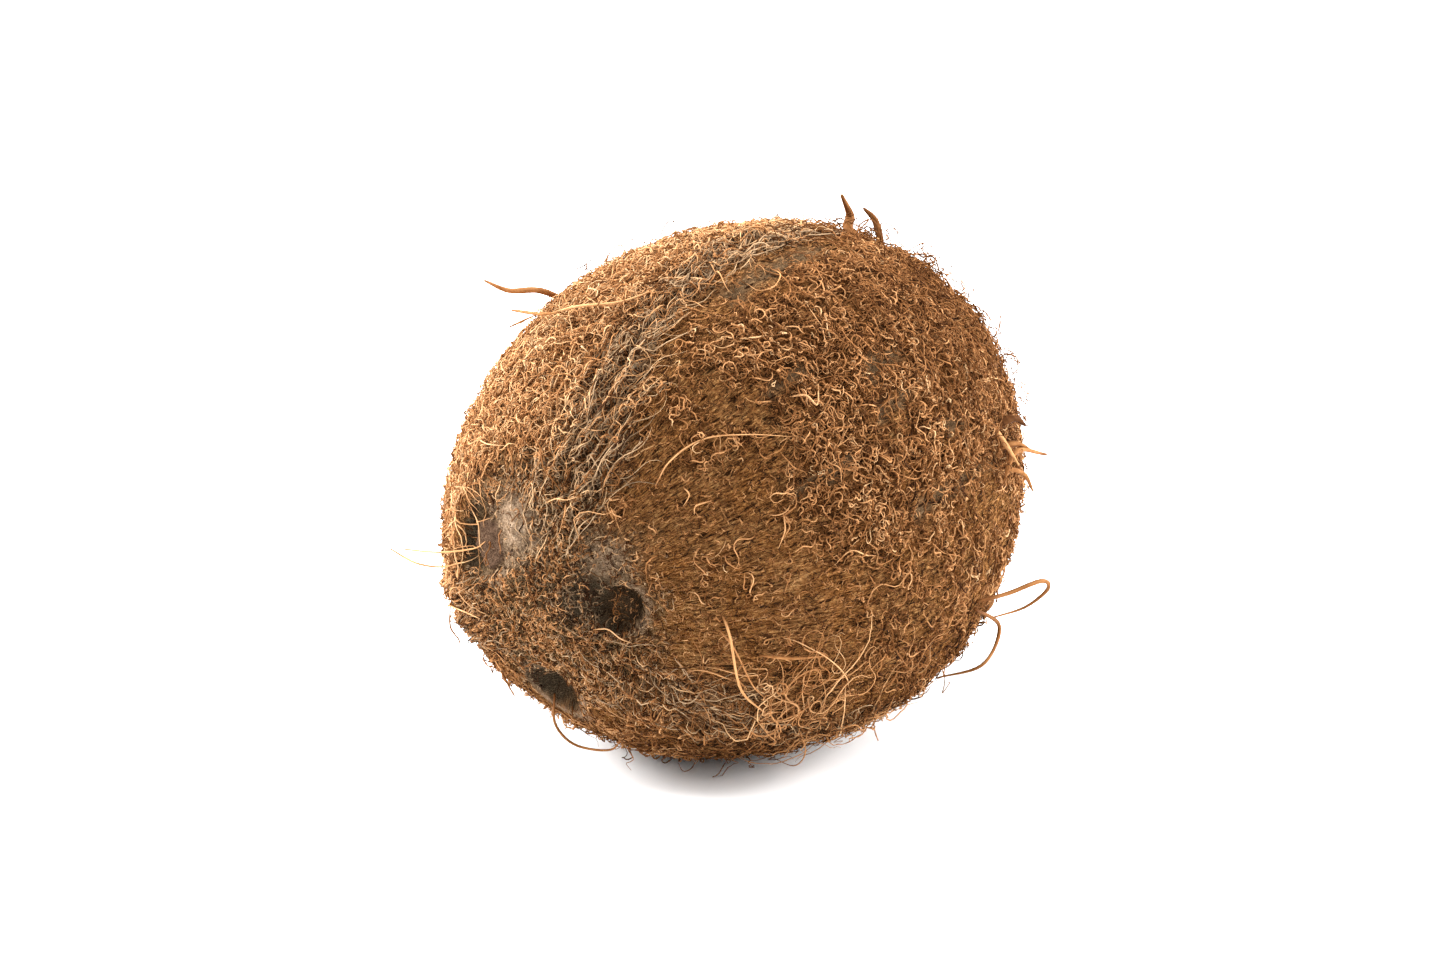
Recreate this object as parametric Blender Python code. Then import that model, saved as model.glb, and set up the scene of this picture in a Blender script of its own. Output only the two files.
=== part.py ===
"""A whole brown coconut with its husk pulled off, lying on its side.

Frame: metres, +Z up.  The nut's long axis runs along Y, with the three eyes at the -Y
end, dipped a little below the horizontal.  The origin is on the surface that the nut
rests on, straight below its centre of mass, which lies over the small flat spot.

The nut grew as one piece, so it is one closed solid: an egg-like body with three soft
ridges that run from between the eyes to the far tip, three sunken eyes, and the flat
spot.  The coarse fibres left on the shell are surface, not structure, and aren't here.
"""
from math import acos, atan2, cos, exp, pi, radians, sin

import bmesh
import bpy
from mathutils import Matrix, Vector

# Overall size (metres)
LENGTH = 0.132            # eye end to far tip, before the eye end is flattened
DIAMETER = 0.1016         # mean diameter across the middle
FLAT_DEPTH = 0.0016       # how much the flat spot takes off the round underside

# Attitude
EYE_END_DIP = radians(8.0)        # the eye end points this far below the horizontal

# Ridges: direction round the long axis (0 is +X, 90 degrees is up) and height of the
# three-cornered swelling there, as a part of the radius
RIDGES = [
    (radians(79), 0.010),
    (radians(202), 0.070),
    (radians(317), 0.066),
]
LOBE_WIDTH = radians(34)
LOBE_MEAN = 0.17                   # share of each swelling that the mean radius already has
CREST_SHARE = 0.3                  # height of the narrow crest, as a part of its swelling
CREST_WIDTH = radians(9)
RIDGE_START = radians(5)           # ridges grow between these angles from either pole
RIDGE_FULL = radians(38)

# The two ends
TIP_RISE = 0.020                   # the far tip is drawn out by this part of half the length
TIP_WIDTH = radians(26)
FACE_DROP = 0.033                  # the middle of the eye end is flatter by this part
FACE_WIDTH = radians(30)

# Eyes: direction round the axis, angle from the pole, radius (m), depth (m)
EYES = [
    (radians(0), radians(21), 0.0048, 0.0034),
    (radians(154), radians(19.5), 0.0062, 0.0022),
    (radians(264), radians(26.5), 0.0056, 0.0026),
]
EYE_HOLLOW = 0.0011                # the wide, shallow hollow round each eye
EYE_HOLLOW_SPREAD = 1.9            # its radius, in eye radii

# Facets
SPHERE_SUBDIVISIONS = 5
FINE_REACH = 1.9                   # facets are halved out to this many eye radii
WELD = 0.00001

HUSK_COLOUR = (0.235, 0.135, 0.070, 1.0)
HUSK_ROUGHNESS = 0.85


def turn_between(first, second):
    """The angle between two directions round the axis, from 0 to pi."""
    return abs((first - second + pi) % (2 * pi) - pi)


def smooth_step(value):
    value = min(1.0, max(0.0, value))
    return value * value * (3 - 2 * value)


def bell(value, width):
    return exp(-(value / width) ** 2)


def ridge_swelling(around, from_pole):
    """The part of the radius that the ridges add at this place."""
    swelling = 0.0
    for direction, height in RIDGES:
        turn = turn_between(around, direction)
        swelling += height * (bell(turn, LOBE_WIDTH) - LOBE_MEAN)
        swelling += height * CREST_SHARE * bell(turn, CREST_WIDTH)
    nearest_pole = min(from_pole, pi - from_pole)
    return swelling * smooth_step((nearest_pole - RIDGE_START) / (RIDGE_FULL - RIDGE_START))


def body_point(unit):
    """The surface without its eyes, for a unit vector whose z points at the eye end."""
    around = atan2(unit.y, unit.x)
    from_pole = acos(max(-1.0, min(1.0, unit.z)))
    across = DIAMETER / 2 * (1 + ridge_swelling(around, from_pole))
    along = LENGTH / 2 * (1 + TIP_RISE * bell(pi - from_pole, TIP_WIDTH)
                          - FACE_DROP * bell(from_pole, FACE_WIDTH))
    return Vector((unit.x * across, unit.y * across, unit.z * along))


def pole_direction(around, from_pole):
    return Vector((sin(from_pole) * cos(around), sin(from_pole) * sin(around), cos(from_pole)))


def eye_centres():
    return [body_point(pole_direction(around, from_pole)) for around, from_pole, _, _ in EYES]


def sunk(point, centres):
    """The surface point, pressed in where it is on or beside an eye."""
    inward = -Vector((point.x / DIAMETER ** 2, point.y / DIAMETER ** 2, point.z / LENGTH ** 2))
    inward.normalize()
    depth = 0.0
    for centre, (_, _, radius, eye_depth) in zip(centres, EYES):
        away = (point - centre).length / radius
        depth += eye_depth * (1 - smooth_step((away - 0.45) / 0.75))
        depth += EYE_HOLLOW * bell(away, EYE_HOLLOW_SPREAD)
    return point + inward * depth


def refine_near_eyes(mesh, centres):
    """Halve the facets round the eyes, so that the pits come out round."""
    near = []
    for edge in mesh.edges:
        middle = (edge.verts[0].co + edge.verts[1].co) / 2
        place = body_point(middle.normalized())
        for centre, (_, _, radius, _) in zip(centres, EYES):
            if (place - centre).length < radius * FINE_REACH:
                near.append(edge)
                break
    bmesh.ops.subdivide_edges(mesh, edges=near, cuts=1, use_grid_fill=True)
    bmesh.ops.triangulate(mesh, faces=mesh.faces[:])
    for vertex in mesh.verts:
        vertex.co.normalize()


def centre_of_volume(mesh):
    """The centre of mass of the closed solid, from the tetrahedra under its facets."""
    volume = 0.0
    moment = Vector((0, 0, 0))
    for face in mesh.faces:
        a, b, c = (vertex.co for vertex in face.verts)
        part = a.dot(b.cross(c)) / 6
        volume += part
        moment += part * (a + b + c) / 4
    return moment / volume


def lay_on_flat_spot(mesh):
    """Turn the nut on its side, put its centre of mass over the origin and cut the flat."""
    turn = Matrix.Rotation(pi / 2 + EYE_END_DIP, 4, "X")
    bmesh.ops.transform(mesh, matrix=turn, verts=mesh.verts)
    centre = centre_of_volume(mesh)
    underside = min(vertex.co.z for vertex in mesh.verts)
    shift = Vector((-centre.x, -centre.y, -(underside + FLAT_DEPTH)))
    bmesh.ops.translate(mesh, vec=shift, verts=mesh.verts)
    everything = mesh.verts[:] + mesh.edges[:] + mesh.faces[:]
    cut = bmesh.ops.bisect_plane(mesh, geom=everything, dist=WELD, plane_co=(0, 0, 0),
                                 plane_no=(0, 0, -1), clear_outer=True)
    rim = [item for item in cut["geom_cut"] if isinstance(item, bmesh.types.BMEdge)]
    bmesh.ops.contextual_create(mesh, geom=rim)
    bmesh.ops.remove_doubles(mesh, verts=mesh.verts, dist=WELD)


def husk_material():
    material = bpy.data.materials.new("husk")
    material.use_nodes = True
    shader = material.node_tree.nodes["Principled BSDF"]
    shader.inputs["Base Color"].default_value = HUSK_COLOUR
    shader.inputs["Roughness"].default_value = HUSK_ROUGHNESS
    shader.inputs["Metallic"].default_value = 0.0
    return material


def make_coconut(collection):
    mesh = bmesh.new()
    bmesh.ops.create_icosphere(mesh, subdivisions=SPHERE_SUBDIVISIONS, radius=1.0)
    centres = eye_centres()
    refine_near_eyes(mesh, centres)
    for vertex in mesh.verts:
        vertex.co = sunk(body_point(vertex.co), centres)
    lay_on_flat_spot(mesh)
    bmesh.ops.recalc_face_normals(mesh, faces=mesh.faces)
    data = bpy.data.meshes.new("coconut")
    mesh.to_mesh(data)
    mesh.free()
    data.shade_smooth()
    data.set_sharp_from_angle(angle=radians(50))
    data.materials.append(husk_material())
    coconut = bpy.data.objects.new("coconut", data)
    collection.objects.link(coconut)
    return coconut


def main():
    for thing in list(bpy.data.objects):
        bpy.data.objects.remove(thing)
    collection = bpy.data.collections.new("coconut_part")
    bpy.context.scene.collection.children.link(collection)
    make_coconut(collection)


main()
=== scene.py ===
"""The looks of a whole brown coconut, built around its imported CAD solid.

The nut lies on its side.  Places on it are given in the nut's own directions: "around"
turns round the long axis (0 is across to +X, 90 degrees is up) and "polar" runs from
the eye end (0) to the far tip (180 degrees).  The shell is one displaced mesh; the coir
left on it is thousands of thin closed tubes that lie on the shell or lift off it.
"""
from collections import namedtuple
from math import ceil, cos, pi, radians, sin

import bmesh
import bpy
import numpy as np
from mathutils import Matrix, Vector
from mathutils.bvhtree import BVHTree


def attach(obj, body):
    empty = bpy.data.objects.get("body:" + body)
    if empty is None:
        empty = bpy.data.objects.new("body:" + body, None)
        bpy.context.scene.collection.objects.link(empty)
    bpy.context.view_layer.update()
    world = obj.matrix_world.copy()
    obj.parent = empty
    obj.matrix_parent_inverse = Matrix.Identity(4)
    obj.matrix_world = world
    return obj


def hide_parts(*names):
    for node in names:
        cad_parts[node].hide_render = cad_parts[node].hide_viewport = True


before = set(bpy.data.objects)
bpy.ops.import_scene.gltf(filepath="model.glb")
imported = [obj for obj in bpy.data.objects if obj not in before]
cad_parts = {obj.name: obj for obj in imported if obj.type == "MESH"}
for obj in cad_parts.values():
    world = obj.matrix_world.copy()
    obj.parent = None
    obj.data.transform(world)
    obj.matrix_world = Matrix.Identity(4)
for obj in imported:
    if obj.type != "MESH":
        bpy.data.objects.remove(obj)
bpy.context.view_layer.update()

MM = 0.001
BODY = "root"
CAD_NODE = "coconut"
SEED = 20
UV_MAP = "OFBake"
SCENE = bpy.context.scene

# The nut's own frame inside the row's frame, as the CAD part lays it down
NUT_CENTRE = np.array([0.0002, -0.0007, 0.0489])
EYE_END_DIP = radians(8.0)
ACROSS = np.array([1.0, 0.0, 0.0])
UPWARD = np.array([0.0, -sin(EYE_END_DIP), cos(EYE_END_DIP)])
EYEWARD = np.array([0.0, -cos(EYE_END_DIP), -sin(EYE_END_DIP)])
NUT_AXES = np.array([ACROSS, UPWARD, EYEWARD])
HALF_WIDTH = 0.0508
HALF_LENGTH = 0.0660
RIDGES = np.radians([79.0, 202.0, 317.0])

# Grey bands on the ridges: ridge, lean to one side (degrees), half width (mm), last angle
RIDGE_BANDS = [(0, 7.0, 5.4, 108), (1, 0.0, 4.6, 120), (2, -4.0, 4.2, 82)]

# Eyes: direction round the axis, angle from the pole (degrees), radius in millimetres
SOFT_EYE = (0.0, 20.5, 4.1)
DISC_EYE = (152.0, 19.2, 5.3)
LOW_EYE = (260.0, 28.8, 5.4)
LOW_EYE_AXIS = (0.9, 0.43)       # the long way of its oval: away from the pole, and sideways
LOW_EYE_OVAL = 0.68              # its width over its length
DISC_FAR_AXIS = (0.9, 0.44)      # towards the plug's far side, in the same terms

# Worn streaks along the grain: direction, first and last angle (degrees), half width (mm)
WORN_STREAKS = [(7, 84, 112, 1.7), (73, 76, 100, 2.8), (40, 86, 92, 2.2), (31, 84, 89, 1.6),
                (47, 66, 73, 1.6), (24, 62, 70, 1.2), (137, 28, 33, 3.0), (20, 97, 103, 1.8)]

# Where the coir curls: middle direction and half width of the sector, first and last angle
# from the pole, the fade at its edges (all in degrees), and how thickly it stands there
CURL_SECTORS = [
    (36, 28, 63, 112, 13, 1.0),       # the near face beyond its middle
    (58, 14, 40, 84, 9, 0.42),        # the strip beside the upper ridge
    (-16, 24, 74, 116, 12, 0.60),     # the near face low down
    (28, 32, 32, 62, 9, 0.24),        # stray curls on the smooth part
    (-25, 20, 45, 80, 9, 0.26),
    (-98, 48, 38, 150, 14, 0.50),     # the underside
    (70, 130, 118, 180, 14, 0.60),    # the far tip
]

# Noise over the shell: lumps per millimetre, and a seed
RAGGED = (0.12, 11)              # the ragged edges of the regions
FINER = (0.35, 17)               # the same, finer
FINE_GRAIN = (0.8, 41)           # fine furrows everywhere
MAT = (0.95, 43)                 # the clumped mat of fibre
BROAD = (0.16, 47)               # slow swells
GROOVES = (0.36, 53)             # the furrows along the ridges
FURROW_STRETCH = 5.0             # how far both kinds of furrow are drawn out along the nut
COLOUR_STRETCH = 4.0             # the same for the grain in the material


# ---------- numbers and noise
def rise(low, high, value):
    share = np.clip((value - low) / (high - low), 0.0, 1.0)
    return share * share * (3 - 2 * share)


def bell(value, width):
    return np.exp(-(value / width) ** 2)


def turn_to(around, direction):
    """The signed angle from a direction round the axis, from -pi to pi."""
    return (around - direction + pi) % (2 * pi) - pi


def window(value, low, high, soft):
    """1 between low and high, fading to 0 over soft outside them."""
    return rise(low - soft, low, value) * (1 - rise(high, high + soft, value))


def lattice_value(x, y, z, seed):
    """A repeatable number from 0 to 1 for each whole-numbered point."""
    mixed = (x * 374761393 + y * 668265263 + z * 1440662683 + seed * 974634777) & 0xFFFFFFFF
    mixed = ((mixed ^ (mixed >> 13)) * 1274126177) & 0xFFFFFFFF
    mixed = ((mixed ^ (mixed >> 15)) * 668265263) & 0xFFFFFFFF
    return ((mixed ^ (mixed >> 16)) & 0xFFFF) / 65535.0


def lumps(points, seed):
    """Smooth noise from 0 to 1, with lumps about one unit across."""
    cell = np.floor(points).astype(np.int64)
    part = points - cell
    part = part * part * (3 - 2 * part)
    total = 0.0
    for corner in range(8):
        step = [(corner >> bit) & 1 for bit in range(3)]
        weight = 1.0
        for axis in range(3):
            weight = weight * (part[..., axis] if step[axis] else 1 - part[..., axis])
        value = lattice_value(cell[..., 0] + step[0], cell[..., 1] + step[1],
                              cell[..., 2] + step[2], seed)
        total += weight * value
    return total


def rough_lumps(points, kind, octaves=3):
    """Noise of a kind, from about 0 to 1, with finer lumps on top of coarse ones."""
    scale, seed = kind
    total = 0.0
    share = 0.5
    for octave in range(octaves):
        total += share * lumps(points * scale * 2 ** octave, seed + octave)
        share /= 2
    return total / (1 - 0.5 ** octaves)


# ---------- the shell's surface
def egg(around, polar, half_width=HALF_WIDTH / MM, half_length=HALF_LENGTH / MM):
    """Places on the plain egg shape, in millimetres unless its measures are given."""
    return np.stack([half_width * np.sin(polar) * np.cos(around),
                     half_width * np.sin(polar) * np.sin(around),
                     half_length * np.cos(polar)], axis=-1)


def unit(vectors):
    return vectors / np.linalg.norm(vectors, axis=-1, keepdims=True)


def outward(around, polar):
    """Unit directions from the nut's middle, in its own axes."""
    return unit(egg(around, polar, HALF_WIDTH, HALF_LENGTH))


def looked_up(table, around, polar):
    """A value between the entries of a table that spans the whole nut."""
    rows, columns = table.shape
    row = np.clip(polar / pi, 0, 1) * (rows - 1)
    column = (around / (2 * pi) % 1.0) * (columns - 1)
    row0 = np.minimum(row.astype(int), rows - 2)
    column0 = np.minimum(column.astype(int), columns - 2)
    down = row - row0
    along = column - column0
    near = table[row0, column0] * (1 - along) + table[row0, column0 + 1] * along
    far = table[row0 + 1, column0] * (1 - along) + table[row0 + 1, column0 + 1] * along
    return near * (1 - down) + far * down


class Skin:
    """The CAD solid's surface, and the rougher shell that runs close to it."""

    ROWS = 241
    COLUMNS = 481
    CRUST_ROWS = 601
    CRUST_COLUMNS = 1201
    MELT = 2                 # rounds of averaging, which melt the CAD's facets

    def __init__(self, solid):
        mesh = solid.data
        corners = [vertex.co.copy() for vertex in mesh.vertices]
        tree = BVHTree.FromPolygons(corners, [tuple(face.vertices) for face in mesh.polygons])
        rows = np.linspace(0, pi, self.ROWS)
        columns = np.linspace(0, 2 * pi, self.COLUMNS)
        start = Vector(NUT_CENTRE)
        reach = np.zeros((self.ROWS, self.COLUMNS))
        for row, polar in enumerate(rows):
            aims = outward(columns, np.full_like(columns, polar)) @ NUT_AXES
            for column, aim in enumerate(aims):
                reach[row, column] = tree.ray_cast(start, Vector(aim))[3]
        for _ in range(self.MELT):
            reach = self.melted(reach)
        self.reach = reach
        polar, around = np.meshgrid(np.linspace(0, pi, self.CRUST_ROWS),
                                    np.linspace(0, 2 * pi, self.CRUST_COLUMNS), indexing="ij")
        self.crust = shell_height(Cover(around, polar)) * MM

    @staticmethod
    def melted(reach):
        """One round of averaging with the places beside, above and below."""
        ring = reach[:, :-1]
        ring = (np.roll(ring, 1, 1) + 2 * ring + np.roll(ring, -1, 1)) / 4
        tall = np.vstack([ring[1:2], ring, ring[-2:-1]])
        ring = (tall[:-2] + 2 * tall[1:-1] + tall[2:]) / 4
        return np.hstack([ring, ring[:, :1]])

    def above_solid(self, around, polar, height):
        """Places at a height over the CAD surface, in the row's frame."""
        reach = looked_up(self.reach, around, polar)
        place = NUT_CENTRE + (outward(around, polar) * reach[..., None]) @ NUT_AXES
        normal = unit(egg(around, polar, 1 / HALF_WIDTH, 1 / HALF_LENGTH)) @ NUT_AXES
        return place + normal * np.asarray(height)[..., None]

    def above_shell(self, around, polar, height):
        """Places at a height over the shell, in the row's frame."""
        crust = looked_up(self.crust, around, polar)
        return self.above_solid(around, polar, crust + height)


def grain_point(around, polar, stretch):
    """Places in a space whose lumps are drawn out along the nut's length."""
    across = HALF_WIDTH / MM
    along = HALF_LENGTH / MM / stretch
    return np.stack([across * np.cos(around), across * np.sin(around), along * polar],
                    axis=-1)


def eye_place(eye, around, polar):
    """Offsets from an eye's middle in millimetres: away from the pole, and sideways."""
    middle = np.radians(eye[:2])
    place = egg(around, polar)
    centre = egg(*middle)
    sideways = np.array([-sin(middle[0]), cos(middle[0]), 0.0])
    away = np.cross(sideways, egg(*middle, 1, 1))
    offset = place - centre
    return offset @ away, offset @ sideways


# ---------- what covers the shell where
class Cover:
    """How much of each kind of surface there is at each place, from 0 to 1."""

    def __init__(self, around, polar):
        self.around = around
        self.polar = polar
        turn = np.degrees(around) % 360
        pole = np.degrees(polar)
        place = egg(around, polar)
        ragged = rough_lumps(place, RAGGED) - 0.5
        finer = rough_lumps(place, FINER) - 0.5
        mm_round = HALF_WIDTH / MM * np.sin(polar)
        self.ragged = ragged
        self.finer = finer

        # Grey-brown bands of matted straw along the three ridges
        self.ridge = 0.0
        for ridge, lean, width, last in RIDGE_BANDS:
            middle = RIDGES[ridge] + radians(lean) * rise(35, 90, pole)
            side = np.abs(turn_to(around, middle)) * mm_round + ragged * 8 + finer * 5
            half = width + 5.0 * (1 - rise(26, 66, pole))
            strength = rise(10, 24, pole) * (1 - rise(last - 18, last + 18, pole))
            strength *= 1 - rise(half * 0.6, half * 1.25, side)
            self.ridge = np.maximum(self.ridge, strength)

        # The eye end: ash and olive black round the eyes, golden crimps in the middle
        self.face = 1 - rise(22, 33, pole + ragged * 16 + finer * 8
                             - 5 * bell(turn_to(around, RIDGES[0]), 0.35)
                             - 4 * bell(turn_to(around, RIDGES[2]), 0.4))
        self.pole_tuft = 1 - rise(9, 17, pole + ragged * 14)
        self.pole_tuft *= rise(-0.15, 0.1, finer)
        self.eyes = {}
        for name, eye in (("soft", SOFT_EYE), ("disc", DISC_EYE), ("low", LOW_EYE)):
            away, sideways = eye_place(eye, around, polar)
            self.eyes[name] = (away, sideways, np.hypot(away, sideways) / eye[2])

        # Thick orange-tan fuzz on the upper far side, between the first two ridges
        self.fuzz = window(turn + ragged * 18, 92, 192, 9) * rise(26, 38, pole + ragged * 20)
        self.fuzz *= 1 - 0.55 * rise(120, 160, pole)
        self.fuzz *= rise(2.1, 2.6, self.eyes["disc"][2] + finer)

        # Smooth grey-tan streaks where the coir has come away
        self.worn = 0.0
        for direction, first, last, width in WORN_STREAKS:
            off = turn_to(around, radians(direction)) * mm_round + 6 * finer
            streak = bell(off, width) * window(pole + 12 * finer, first, last, 4)
            self.worn = np.maximum(self.worn, streak)

        # Clumps of curly golden-brown fibre
        density = 0.0
        for middle, half, first, last, soft, amount in CURL_SECTORS:
            side = np.abs(np.degrees(turn_to(around, radians(middle)))) + ragged * 14
            share = 1 - rise(half, half + soft, side)
            density = np.maximum(density, amount * share
                                 * window(pole + ragged * 14, first, last, soft))
        bar = 0.30 - 0.52 * density
        self.curls = rise(bar, bar + 0.12, 0.55 * ragged + finer)
        self.curls *= rise(0, 0.1, density)
        self.curls = self.curls * (1 - 0.8 * self.worn) * (1 - self.fuzz) * (1 - self.face)


def disc_reach(cover):
    """Distance from the middle of the plug in the second eye, in its radii."""
    return cover.eyes["disc"][2]


def disc_far_side(cover):
    """1 on the side of the plug that is away from the pole, 0 on the near side."""
    away, sideways, _ = cover.eyes["disc"]
    farther = DISC_FAR_AXIS[0] * away + DISC_FAR_AXIS[1] * sideways
    return rise(-0.1, 0.75, farther / np.hypot(away, sideways + 1e-6))


def low_offsets(cover):
    """Offsets from the middle of the third eye along its oval and across it."""
    away, sideways, _ = cover.eyes["low"]
    more, less = LOW_EYE_AXIS
    return more * away + less * sideways, more * sideways - less * away


def low_reach(cover):
    """Distance from the middle of the third eye, in its half lengths."""
    longways, crossways = low_offsets(cover)
    return np.hypot(longways, crossways / LOW_EYE_OVAL) / LOW_EYE[2]


def low_inner_end(cover):
    """1 at the end of the third eye that is nearer the pole."""
    return rise(0.5, -0.9, low_offsets(cover)[0] / LOW_EYE[2])


def ash_rings(cover):
    """Pale ash, worn smooth, round the eyes."""
    away, sideways, reach = cover.eyes["soft"]
    rim = bell(reach - 1.28, 0.26)
    rim *= rise(-0.9, 0.5, (away + 0.6 * sideways) / SOFT_EYE[2])
    above_soft = bell(np.hypot(away + 2.5, sideways - 9.5), 5.0)
    away, sideways, reach = cover.eyes["disc"]
    beside_disc = 1.2 * bell(np.hypot(away + 5.0, sideways + 9.0), 6.5)
    rim = np.maximum(rim, bell(reach - 1.4, 0.3) * (1 - disc_far_side(cover)))
    beside_low = bell(low_reach(cover) - 1.35, 0.35) * 0.8
    ash = np.maximum.reduce([rim * 0.5, above_soft * 0.65, beside_disc, beside_low])
    return np.clip(ash * (1 + 1.2 * cover.finer), 0, 1)


def upper_ridge(cover):
    """1 on the upper ridge, which is the palest and has the most straws, 0.22 on the others."""
    off = np.abs(np.degrees(turn_to(cover.around, RIDGES[0])))
    return 0.22 + 0.78 * rise(70, 40, off)


def ridge_ash(cover):
    return cover.ridge * (0.35 + 0.65 * upper_ridge(cover))


def ridge_grooves(cover):
    """Long furrows that run with the grain along the ridges: 1 along their bottoms."""
    place = grain_point(cover.around, cover.polar, FURROW_STRETCH)
    return 1 - np.abs(2 * rough_lumps(place, GROOVES, 2) - 1)


def between_grooves(cover):
    return 1 - 0.9 * rise(0.70, 0.88, ridge_grooves(cover))


def shell_height(cover):
    """How far the shell's surface stands above the CAD surface, in millimetres."""
    around = cover.around
    polar = cover.polar
    place = egg(around, polar)
    fine_grain = rough_lumps(grain_point(around, polar, FURROW_STRETCH), FINE_GRAIN) - 0.5
    mat = rough_lumps(place, MAT) - 0.5
    broad = rough_lumps(place, BROAD) - 0.5
    groove = ridge_grooves(cover)
    from_end = np.minimum(polar, pi - polar)
    fade = rise(radians(14), radians(30), from_end)
    height = -0.8 - 0.5 * cover.fuzz + 0.9 * broad
    height += fine_grain * 0.6 * fade * (1 - 0.6 * cover.worn)
    height += mat * (0.3 + 1.1 * cover.fuzz + 1.3 * cover.face + 0.9 * cover.curls)
    height += cover.ridge * (0.9 + 1.2 * mat - 1.7 * rise(0.62, 0.96, groove) * fade)
    heap = bell(turn_to(around, radians(115)), 0.4) * bell(polar - radians(72), 0.4)
    height += 0.8 * heap
    height -= 0.3 * cover.worn

    # The first eye: a step down at its rim, and a floor raised out of the CAD's deep pit
    reach = cover.eyes["soft"][2]
    height -= 1.0 * (1 - rise(0.84, 1.04, reach + 0.12 * cover.finer))
    height += 2.3 * (1 - rise(0.30, 0.98, reach))
    height += 0.5 * bell(reach - 1.25, 0.2)

    # The second: a raised plug, with a hollow on its far side and a low wall round both
    disc = disc_reach(cover)
    height += 1.5 * (1 - rise(0.84, 1.02, disc)) * (1 - 0.3 * disc ** 2)
    height -= 1.2 * bell(disc - 1.30, 0.28) * disc_far_side(cover)
    height -= 0.35 * bell(disc - 1.1, 0.12)
    height += 0.5 * bell(disc - 2.1, 0.35)

    # The third: a plain dent
    low = low_reach(cover) + 0.2 * cover.finer
    height -= 1.8 * (1 - rise(0.55, 1.05, low))
    return height


def dark_eyes_and_crease_shade(cover):
    """The near-black parts of the eyes, and painted shade in the crease on the plug's far side."""
    eyes_and_crease_shade = 1 - rise(0.86, 1.10, cover.eyes["soft"][2] + 0.3 * cover.finer)
    disc = disc_reach(cover)
    # Painted shade: a near-black line in the crease along the plug's far side, by its hollow
    crease = 0.8 * bell(disc - 1.08, 0.08) * rise(0.2, 0.9, disc_far_side(cover))
    eyes_and_crease_shade = np.maximum(eyes_and_crease_shade, crease)
    low = 1 - rise(0.55, 1.05, low_reach(cover) + 0.3 * cover.finer)
    return np.maximum(eyes_and_crease_shade, 0.45 * (1 - low_inner_end(cover)) * low)


def soot(cover):
    """The olive-black stain of the mat beside the eyes."""
    pole = np.degrees(cover.polar)
    away, sideways, _ = cover.eyes["soft"]
    beside_soft = 1.3 * bell(np.hypot((away + 7.5) / 1.4, sideways - 1.5), 5.6)
    around_soft = 0.9 * bell(cover.eyes["soft"][2] - 1.15, 0.25) * (1 - rise(-1, 3, away))
    beside_low = 0.45 * bell(turn_to(cover.around, radians(250)), 0.3)
    beside_low *= window(pole, 20, 26, 4)
    low = low_reach(cover)
    in_low = 1.2 * (1 - rise(0.8, 1.25, low))
    in_low += 0.9 * bell(low - 1.3, 0.5) * low_inner_end(cover)
    beside_low = np.maximum(beside_low, in_low)
    over_disc = 0.95 * bell(disc_reach(cover) - 1.45, 0.42) * disc_far_side(cover)
    stain = beside_soft + around_soft + beside_low + over_disc
    return np.clip(stain * (1 + 1.8 * cover.finer), 0, 1)


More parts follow.
